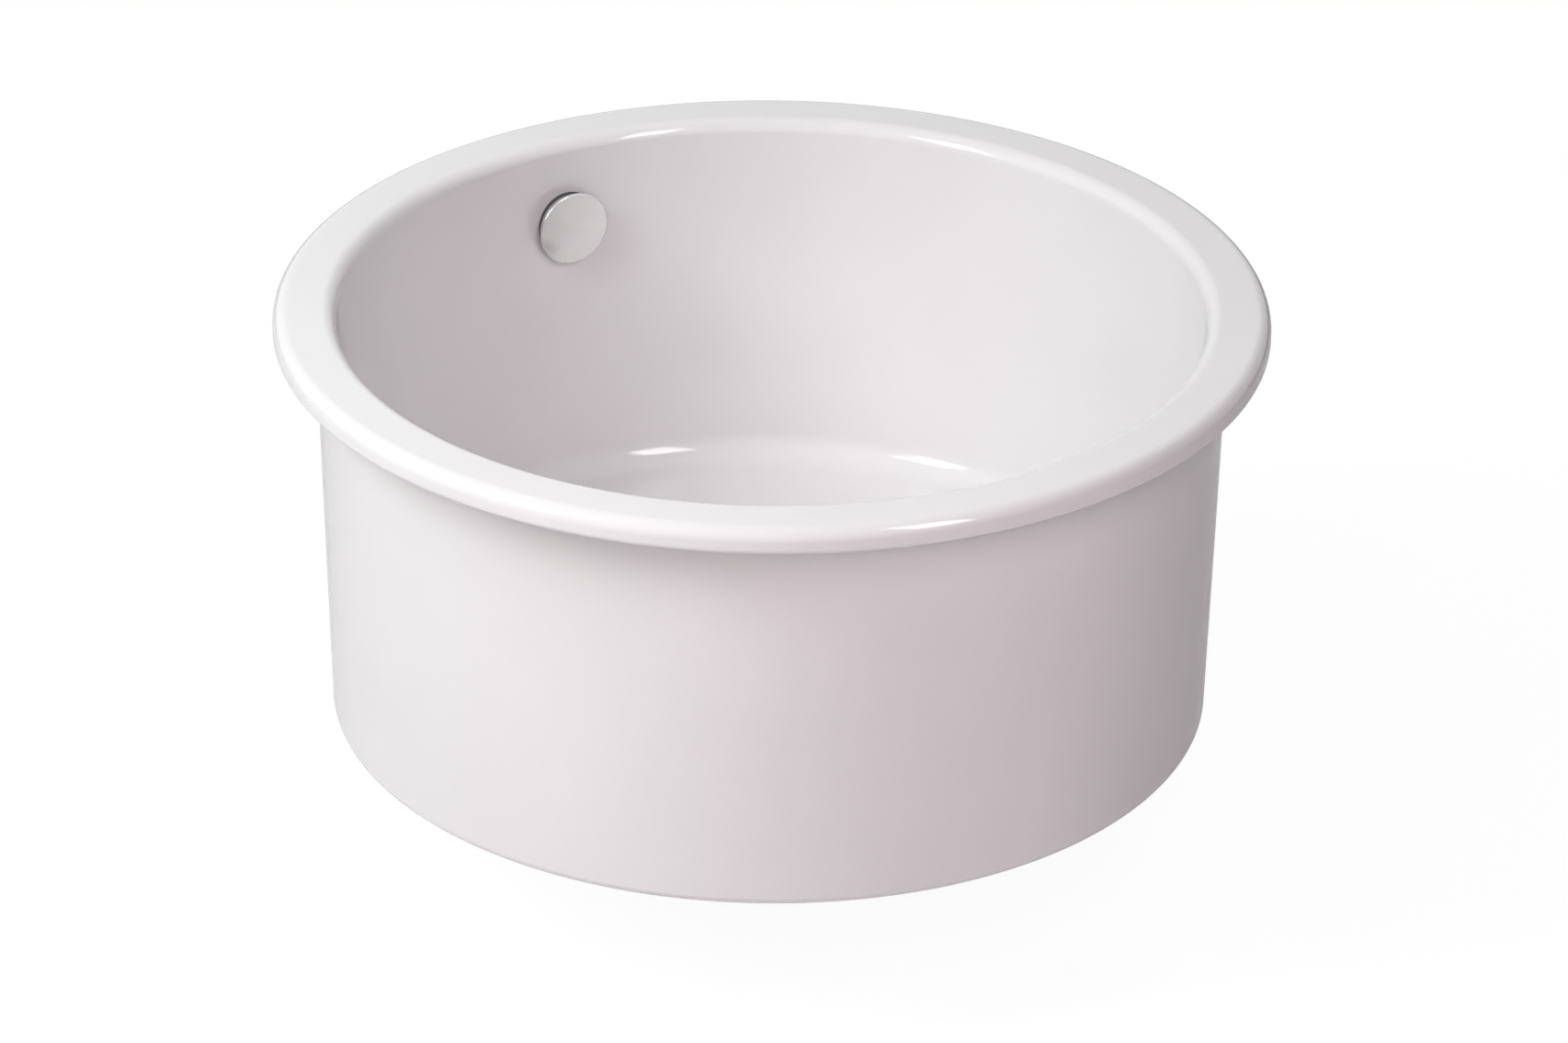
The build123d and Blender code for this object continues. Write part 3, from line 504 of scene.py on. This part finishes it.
def pulled(shape, edges, vec, scale=1, about=(0, 0, 0)):
    # the edges are extruded by vec, and may widen or narrow about an axis along z
    made = bmesh.ops.extrude_edge_only(shape, edges=edges)["geom"]
    points = [v for v in made if isinstance(v, bmesh.types.BMVert)]
    bmesh.ops.translate(shape, vec=vec, verts=points)
    if scale != 1:
        bmesh.ops.scale(shape, vec=(scale, scale, 1), space=Matrix.Translation(-Vector(about)), verts=points)
    return [e for e in made if isinstance(e, bmesh.types.BMEdge)]


# drawn in the overflow's upright plane, x outward and z up, first its outside and then its bore
shape = bmesh.new()
ends = []
dropAt, runFrom = overflow["pipeAt"], overflow["pipeAt"] - lower["bendRadius"]
bendLevel = overflow["inletLevel"] + lower["bendRadius"]
for radius in (lower["bell"], lower["inner"]):
    ring = bmesh.ops.create_circle(shape, cap_ends=False, radius=radius, segments=lower["steps"],
                                   matrix=Matrix.Translation((dropAt, 0, lower["bellTop"])))["verts"]
    edges = list({e for v in ring for e in v.link_edges})
    ends += edges
    if radius > lower["inner"]:
        edges = pulled(shape, edges, (0, 0, lower["bellLow"] - lower["bellTop"]))
        edges = pulled(shape, edges, (0, 0, -lower["shoulder"]), lower["outer"] / lower["bell"],
                       (dropAt, 0, 0))
    edges = pulled(shape, edges, (0, 0, bendLevel - edges[0].verts[0].co.z))
    bent = bmesh.ops.spin(shape, geom=edges + list({v for e in edges for v in e.verts}), axis=(0, 1, 0),
                          angle=pi / 2, cent=(runFrom, 0, bendLevel), steps=lower["bendSteps"])["geom_last"]
    edges = [e for e in bent if isinstance(e, bmesh.types.BMEdge)]
    edges = pulled(shape, edges, (lower["runEnd"] - runFrom, 0, 0))
    ends += edges
ring = lower["steps"]
bmesh.ops.bridge_loops(shape, edges=ends[:ring] + ends[2 * ring:3 * ring])
bmesh.ops.bridge_loops(shape, edges=ends[ring:2 * ring] + ends[3 * ring:])
bmesh.ops.remove_doubles(shape, verts=shape.verts, dist=drawing["touching"])
lowerPipe = toPiece("lowerPipe", shape, Matrix((outward, -sideways, up)).transposed().to_4x4())
finishPiece(lowerPipe, "sink", "white_plastic", "lower_pipe", soften=lower["softEdge"])
print("pipes done")

# Nuts: turned shell with a lip, a grip of ribs with rounded ends; each stands where its seal meets its socket
nuts = {"wall": 3, "gap": 0.05, "engage": 9, "seal": 3.5, "lip": 2.5, "lipGap": 0.3, "ribs": 8, "rib": 1,
        "ribFromEnd": 0.5, "ribFromLip": 1.2, "ribRounds": (0.6, 0.9), "ribSteps": 24, "inletEnd": 72,
        "large": {"socket": 16, "pipe": 13}, "small": {"socket": 14, "pipe": 11}}
underElbow = placeAt(overflow["pipeAt"], socketEnd, -up)
onBell = placeAt(overflow["pipeAt"], lower["bellTop"], up)
onInlet = placeAt(nuts["inletEnd"], overflow["inletLevel"])
for name, node, size, place in (("upperPipeNut", "upper_pipe_nut", nuts["small"], underElbow),
                                ("pipeCouplingNut", "pipe_coupling_nut", nuts["small"], onBell),
                                ("lowerPipeNut", "lower_pipe_nut", nuts["large"], onInlet)):
    bore, lipBore = size["socket"] + nuts["gap"], size["pipe"] + nuts["lipGap"]
    outer, top = bore + nuts["wall"], nuts["seal"] + nuts["lip"]
    nut = turned(name, [(bore, -nuts["engage"], 0.4), (outer, -nuts["engage"], 0.7), (outer, top, 1.5),
                        (lipBore, top, 0.5), (lipBore, nuts["seal"], 0), (bore, nuts["seal"], 0.3)],
                 place=place)
    ribLow, ribTop = -nuts["engage"] + nuts["ribFromEnd"], top - nuts["ribFromLip"]
    lowRound, topRound = nuts["ribRounds"]
    rib = turned("rib", [(0, ribLow, 0), (nuts["rib"], ribLow, lowRound), (nuts["rib"], ribTop, topRound),
                         (0, ribTop, 0)], nuts["ribSteps"], Matrix.Translation((outer * mm, 0, 0)))
    combine(nut, [ringOf(rib, nuts["ribs"], place=place)], "UNION")
    finishPiece(nut, "sink", "white_plastic", node, sharp=40)
print("nuts done")

# Strainer cup: one pressed sheet, twelve slots in its sump
flange, _, flangeTop = measured("strainer_cup")
_, sump, headLow = measured("bolt_washer")
strainer = {"line": [(flange, flangeTop, 0), (42, flangeTop, 2), (38, -206.943, 2), (27, -206.943, 1),
                     (24, sump, 2), (5.2, sump, 0)], "sheet": 1, "steps": 160,
            "slots": 12, "slotLength": 11, "slotWidth": 3.8, "slotAt": 16.75, "slotSteps": 10, "cutDeep": 6}
strainerCup = turned("strainerCup", pressedSection(strainer["line"], strainer["sheet"]), strainer["steps"])
slotCutter = prism("slot", slotOutline(strainer["slotLength"], strainer["slotWidth"], strainer["slotSteps"]),
                   strainer["cutDeep"], Matrix.Translation((strainer["slotAt"] * mm, 0, sump * mm)))
combine(strainerCup, [ringOf(slotCutter, strainer["slots"])], "DIFFERENCE")
finishPiece(strainerCup, "sink", "stainless_steel", "strainer_cup")

# Gasket under the base
gasketRadius, gasketLow, gasketTop = measured("base_gasket")
gasket = {"section": [(46, gasketTop, 0.4), (gasketRadius, gasketTop, 0.4), (gasketRadius, gasketLow, 0.4),
                      (46, gasketLow, 0.4)]}
baseGasket = turned("baseGasket", gasket["section"])
finishPiece(baseGasket, "sink", "black_rubber", "base_gasket")

# Waste body: flange, chamber, cone and threaded outlet, side inlet, gussets, hub on three arms
wasteRadius, outletEnd, wasteTop = measured("waste_body")
insertRadius, insertLow, hubTop = measured("waste_insert")
hubLow = insertLow - 6
waste = {"shell": [(45, wasteTop, 0.3), (wasteRadius, wasteTop, 0.5), (wasteRadius, -208, 0.8),
                   (48, -208, 1.2), (48, -246.05, 6), (26.9, -258.05, 1), (26.9, -261.05, 0.5),
                   (22.9, -261.05, 0.4), (22.9, outletEnd, 0.6), (20.5, outletEnd, 0.4), (20.5, -258.05, 2),
                   (45, -246.05, 3)],
         "chamber": [(0, -209, 0), (45, -209, 0), (45, -246.05, 3), (20.5, -258.05, 0), (0, -258.05, 0)],
         "inlet": [(0, 40, 0), (16, 40, 0), (16, 58, 0.4), (15.25, 58.8, 0.3), (15.25, nuts["inletEnd"], 0.6),
                   (0, nuts["inletEnd"], 0)],
         "inletBore": [(0, 34, 0), (11.3, 34, 0), (11.3, 60, 0.3), (13.3, 60, 0),
                       (13.3, nuts["inletEnd"] + 1, 0), (0, nuts["inletEnd"] + 1, 0)],
         "hub": [(5.2, hubLow, 0.4), (10, hubLow, 0.8), (10, hubTop, 0.6), (insertRadius, hubTop, 0.2),
                 (insertRadius, insertLow, 0), (5.2, insertLow, 0)],
         "gusset": [(46.5, -207), (52.6, -207), (52.6, -208.3), (48, -214), (46.5, -214)],
         "gussets": 12, "gussetThick": 2, "gussetRound": 0.3,
         "outletThread": {"crest": 23.9, "depth": 1.0, "pitch": 2.309, "low": -281.6, "high": -262},
         "inletThread": {"crest": 16, "depth": 0.75, "pitch": 2, "low": 59.2, "high": 71.6},
         "steps": 128, "inletSteps": 96, "hubSteps": 64}
arm = {"from": 8, "to": 47, "thick": 3, "deep": 13, "round": 0.5, "count": 3, "first": -60}
inletPlace = placeAt(0, overflow["inletLevel"])
wasteBody = turned("wasteBody", waste["shell"], waste["steps"])
gusset = prism("gusset", waste["gusset"], waste["gussetThick"], Matrix.Rotation(pi / 2, 4, "X"),
               waste["gussetRound"])
combine(wasteBody, [ringOf(gusset, waste["gussets"]),
                    turned("inlet", waste["inlet"], waste["inletSteps"], inletPlace)], "UNION")
# the inlet's inner end is trimmed back to the chamber, then bored
combine(wasteBody, [turned("chamber", waste["chamber"], waste["steps"]),
                    turned("bore", waste["inletBore"], waste["inletSteps"], inletPlace)], "DIFFERENCE")
hub = turned("hub", waste["hub"], waste["hubSteps"])
half = arm["thick"] / 2
armOutline = [(arm["from"], -half), (arm["to"], -half), (arm["to"], half), (arm["from"], half)]
armPlace = Matrix.Translation((0, 0, (hubLow + arm["deep"] / 2) * mm))
bar = prism("arm", armOutline, arm["deep"], armPlace, arm["round"])
combine(hub, [ringOf(bar, arm["count"], arm["first"])], "UNION")
combine(wasteBody, [hub, threadRidge("outletThread", **waste["outletThread"]),
                    threadRidge("inletThread", place=inletPlace, **waste["inletThread"])], "UNION")
finishPiece(wasteBody, "sink", "white_plastic", "waste_body")
print("waste body done")

# Centre bolt: chamfered six-sided head, hollow threaded shank
headRadius, boltLow, headTop = measured("centre_bolt")
stemRadius, stemLow, stemTop = measured("basket_stem")
boreLow = stemLow - 3
bolt = {"chamfer": [(0, -216, 0), (8.2, -216, 0), (8.2, -212.2, 0.4), (6.6, headTop, 0), (0, headTop, 0)],
        "shank": [(0, -213, 0), (4.35, -213, 0), (4.35, boltLow, 0.6), (0, boltLow, 0)],
        "bore": [(0, -211, 0), (4, -211, 0), (3.5, -211.7, 0), (3.5, boreLow, 0.5), (0, boreLow - 1, 0)],
        "thread": {"crest": 4.9, "depth": 0.55, "pitch": 1.25, "low": -234.7, "high": -219.5, "steps": 36},
        "sides": 6, "chamferSteps": 64, "steps": 48}
shape = bmesh.new()
bmesh.ops.create_cone(shape, cap_ends=True, segments=bolt["sides"], radius1=headRadius, radius2=headRadius,
                      depth=headTop - headLow, matrix=Matrix.Translation((0, 0, (headTop + headLow) / 2)))
centreBolt = toPiece("centreBolt", shape)
combine(centreBolt, [turned("chamfer", bolt["chamfer"], bolt["chamferSteps"])], "INTERSECT")
combine(centreBolt, [turned("shank", bolt["shank"], bolt["steps"]),
                     threadRidge("boltThread", **bolt["thread"])], "UNION")
combine(centreBolt, [turned("bore", bolt["bore"], bolt["steps"])], "DIFFERENCE")
finishPiece(centreBolt, "sink", "stainless_steel", "centre_bolt")
print("bolt done")

# Basket: pressed and pierced sheet
basketRadius, basketLow, basketTop = measured("basket_cup")
basket = {"sheet": 0.8, "steps": 192, "slots": 24, "slotLength": 12, "slotWidth": 2.4, "slotAt": 35,
          "slotSteps": 8, "slotDeep": 8, "holeRings": [(12, 12), (20, 18)], "hole": 1.5, "holeSteps": 24}
basketFloor = basketLow + basket["sheet"]
basketLine = [(basketRadius, basketTop, 0), (38, basketTop, 1.25), (33, basketFloor, 2.5),
              (2.55, basketFloor, 0)]
basketCup = turned("basketCup", pressedSection(basketLine, basket["sheet"]), basket["steps"])
slotPlace = Matrix.Translation((basket["slotAt"] * mm, 0, (basketTop + basketFloor) / 2 * mm))
slotCutter = prism("slot", slotOutline(basket["slotLength"], basket["slotWidth"], basket["slotSteps"]),
                   basket["slotDeep"], slotPlace @ Matrix.Rotation(pi / 2, 4, "Y"))
cutters = [ringOf(slotCutter, basket["slots"])]
drill = [(0, -205, 0), (basket["hole"], -205, 0), (basket["hole"], -201, 0), (0, -201, 0)]
for ringRadius, count in basket["holeRings"]:
    for i in range(count):
        angle = 2 * pi * i / count
        place = Matrix.Translation((ringRadius * cos(angle) * mm, ringRadius * sin(angle) * mm, 0))
        cutters.append(turned("hole", drill, basket["holeSteps"], place))
combine(basketCup, [together("cuts", cutters)], "DIFFERENCE")
finishPiece(basketCup, "basket", "stainless_steel", "basket_cup")

# Knob, stem and stopper with its washer; the stem runs through all of them
knobRadius, knobLow, knobTop = measured("basket_knob")
knob = {"section": [(0, knobTop, 0), (knobRadius, knobTop, 3), (knobRadius, stemTop, 1.5),
                    (5.5, knobLow, 0.4), (4.05, knobLow, 0.2), (4.05, stemTop, 0), (0, stemTop, 0)]}
basketKnob = turned("basketKnob", knob["section"])
finishPiece(basketKnob, "basket", "chrome", "basket_knob")
stem = {"section": [(0, stemTop, 0), (stemRadius, stemTop, 0.3), (stemRadius, basketFloor, 0),
                    (2.5, basketFloor, 0), (2.5, -214, 0.2), (2.2, -214.5, 0.2), (2.5, -215, 0.2),
                    (2.5, stemLow, 0.8), (0, stemLow, 0)], "steps": 48}
basketStem = turned("basketStem", stem["section"], stem["steps"])
finishPiece(basketStem, "basket", "stainless_steel", "basket_stem")
stopperRadius, stopperLow, stopperTop = measured("basket_stopper")
groove = stopperLow + 0.5
stopper = {"section": [(2.55, stopperTop, 0), (stopperRadius, stopperTop, 0.4),
                       (stopperRadius, stopperLow, 1), (25.5, stopperLow, 0.4), (25, groove, 0.4),
                       (23.5, groove, 0.4), (23, stopperLow, 0.4), (2.55, stopperLow, 0)], "steps": 128}
basketStopper = turned("basketStopper", stopper["section"], stopper["steps"])
finishPiece(basketStopper, "basket", "black_rubber", "basket_stopper")
washerRadius, washerLow, washerTop = measured("stopper_washer")
washer = {"section": [(2.55, washerTop, 0.1), (washerRadius, washerTop, 0.25),
                      (washerRadius, washerLow, 0.25), (2.55, washerLow, 0.1)], "steps": 64}
stopperWasher = turned("stopperWasher", washer["section"], washer["steps"])
finishPiece(stopperWasher, "basket", "stainless_steel", "stopper_washer")
print("basket done")

# what stays as the frame has it: hidden or tiny pieces, with the right finish
kept = {"stainless_steel": ["overflow_stud", "bolt_washer", "stem_clip"],
        "grey_plastic": ["overflow_carrier"],
        "brass": ["elbow_insert", "waste_insert", "stem_nut"],
        "black_rubber": ["overflow_front_seal", "overflow_back_seal", "upper_pipe_seal", "pipe_coupling_seal",
                         "lower_pipe_seal", "flange_seal"]}
for slotName, nodes in kept.items():
    for node in nodes:
        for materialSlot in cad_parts[node].material_slots:
            materialSlot.material = finishes[slotName]
print("kept nodes painted")

# Floor just under the waste, in metres: white to the camera but for the sink's faint shadow. In gloss it
# glows less, so that polished edges darken towards it as in the photograph
studio = {"floorLevel": -0.2826, "floorSize": 30, "floorColour": (0.8, 0.765, 0.775), "glow": 1.09,
          "glowSeen": {"Camera": 0.86, "Glossy": 0.15, "Transmission": 0.86}, "ambient": 0, "backdrop": 1,
          "backdropSeen": {"Camera": 1, "Glossy": 1, "Transmission": 1}, "lampsAim": Vector((0, 0, -0.1))}
shape = bmesh.new()
bmesh.ops.create_grid(shape, x_segments=2, y_segments=2, size=studio["floorSize"] / 2,
                      matrix=Matrix.Translation((0, 0, studio["floorLevel"])))
floor = asObject("floor", shape)


def whereSeen(tree, shares):
    # adds up the shares of the kinds of ray that look at the background
    seen = tree.nodes.new("ShaderNodeLightPath")
    total = None
    for kind, share in shares.items():
        part = tree.nodes.new("ShaderNodeMath")
        part.operation = "MULTIPLY_ADD"
        tree.links.new(seen.outputs[f"Is {kind} Ray"], part.inputs[0])
        part.inputs[1].default_value = share
        part.inputs[2].default_value = 0
        if total is not None:
            tree.links.new(total, part.inputs[2])
        total = part.outputs[0]
    return total


def showTo(tree, shares, lit, seen, outputKind):
    # the rays in shares see the second shader, the others see the first
    choose = tree.nodes.new("ShaderNodeMixShader")
    tree.links.new(whereSeen(tree, shares), choose.inputs["Fac"])
    tree.links.new(lit.outputs[0], choose.inputs[1])
    tree.links.new(seen.outputs[0], choose.inputs[2])
    surface = tree.nodes.new(outputKind)
    tree.links.new(choose.outputs[0], surface.inputs["Surface"])


floorPaint = bpy.data.materials.new("pale floor")
floorPaint.use_nodes = True
tree = floorPaint.node_tree
tree.nodes.clear()
diffuse = tree.nodes.new("ShaderNodeBsdfDiffuse")
diffuse.inputs["Color"].default_value = (*studio["floorColour"], 1)
glow = tree.nodes.new("ShaderNodeEmission")
glow.inputs["Strength"].default_value = studio["glow"]
showTo(tree, studio["glowSeen"], diffuse, glow, "ShaderNodeOutputMaterial")
floor.data.materials.append(floorPaint)

world = bpy.data.worlds.new("studio")
scene.world = world
world.use_nodes = True
tree = world.node_tree
tree.nodes.clear()
backgrounds = []
for strength in (studio["ambient"], studio["backdrop"]):
    background = tree.nodes.new("ShaderNodeBackground")
    background.inputs["Color"].default_value = (1, 1, 1, 1)
    background.inputs["Strength"].default_value = strength
    backgrounds.append(background)
showTo(tree, studio["backdropSeen"], *backgrounds, "ShaderNodeOutputWorld")

# azimuth is measured from the front, to the right; the highlights come from the two gloss softboxes alone
softboxes = {
    "leftKey": {"lights": "matt", "azimuth": -66, "elevation": 38, "distance": 1.7, "width": 0.6,
                "height": 0.8, "power": 18.9, "colour": (0.96, 1, 0.985)},
    "leftShine": {"lights": "gloss", "azimuth": -55, "elevation": 36, "distance": 1.7, "width": 0.42,
                  "height": 0.8, "power": 12, "colour": (1, 1, 1)},
    "rightKey": {"lights": "matt", "azimuth": 25, "elevation": 42, "distance": 1.8, "width": 0.6,
                 "height": 0.8, "power": 9.8, "colour": (1, 0.88, 0.94)},
    "rightShine": {"lights": "gloss", "azimuth": 38, "elevation": 40, "distance": 1.7, "width": 0.34,
                   "height": 0.8, "power": 7, "colour": (1, 1, 1)},
    "frontFill": {"lights": "matt", "azimuth": 0, "elevation": 24, "distance": 1.9, "width": 1.2,
                  "height": 0.8, "power": 6.1, "colour": (1, 0.89, 0.9)},
    "topFill": {"lights": "matt", "azimuth": -60, "elevation": 60, "distance": 1.7, "width": 0.9,
                "height": 0.8, "power": 5.9, "colour": (0.87, 1, 1)},
    "backRight": {"lights": "matt", "azimuth": 150, "elevation": 40, "distance": 1.9, "width": 0.9,
                  "height": 1.2, "power": 6.4, "colour": (0.94, 1, 1)},
    "backLeft": {"lights": "matt", "azimuth": -145, "elevation": 40, "distance": 1.9, "width": 0.9,
                 "height": 1.2, "power": 4.5, "colour": (1, 0.89, 0.91)},
}
for name, box in softboxes.items():
    light = bpy.data.lights.new(name, "AREA")
    light.shape = "RECTANGLE"
    light.size, light.size_y = box["width"], box["height"]
    light.energy = box["power"]
    light.color = box["colour"]
    lamp = inScene(name, light)
    azimuth, elevation = radians(box["azimuth"]), radians(box["elevation"])
    away = Vector((sin(azimuth) * cos(elevation), -cos(azimuth) * cos(elevation), sin(elevation)))
    turn = away.to_track_quat("Z", "Y").to_matrix().to_4x4()
    lamp.matrix_world = Matrix.Translation(studio["lampsAim"] + away * box["distance"]) @ turn
    lamp.visible_camera = False
    lamp.visible_glossy = box["lights"] == "gloss"
    lamp.visible_diffuse = box["lights"] == "matt"
print("studio ready")

view = {"distance": 3.5961, "elevation": 25.745, "aim": (0.00649, 0, -0.11413), "roll": 0.5965,
        "lens": 179.118}
lens = bpy.data.cameras.new("camera")
lens.lens = view["lens"]
lens.sensor_width = 36
lens.sensor_fit = "HORIZONTAL"
lens.clip_end = 100
camera = inScene("camera", lens)
elevation = radians(view["elevation"])
stand = Vector((0, -cos(elevation), sin(elevation))) * view["distance"]
looking = (stand - Vector(view["aim"])).to_track_quat("Z", "Y").to_matrix().to_4x4()
camera.matrix_world = Matrix.Translation(stand) @ looking @ Matrix.Rotation(radians(view["roll"]), 4, "Z")
scene.camera = camera
scene.view_settings.view_transform = "Standard"
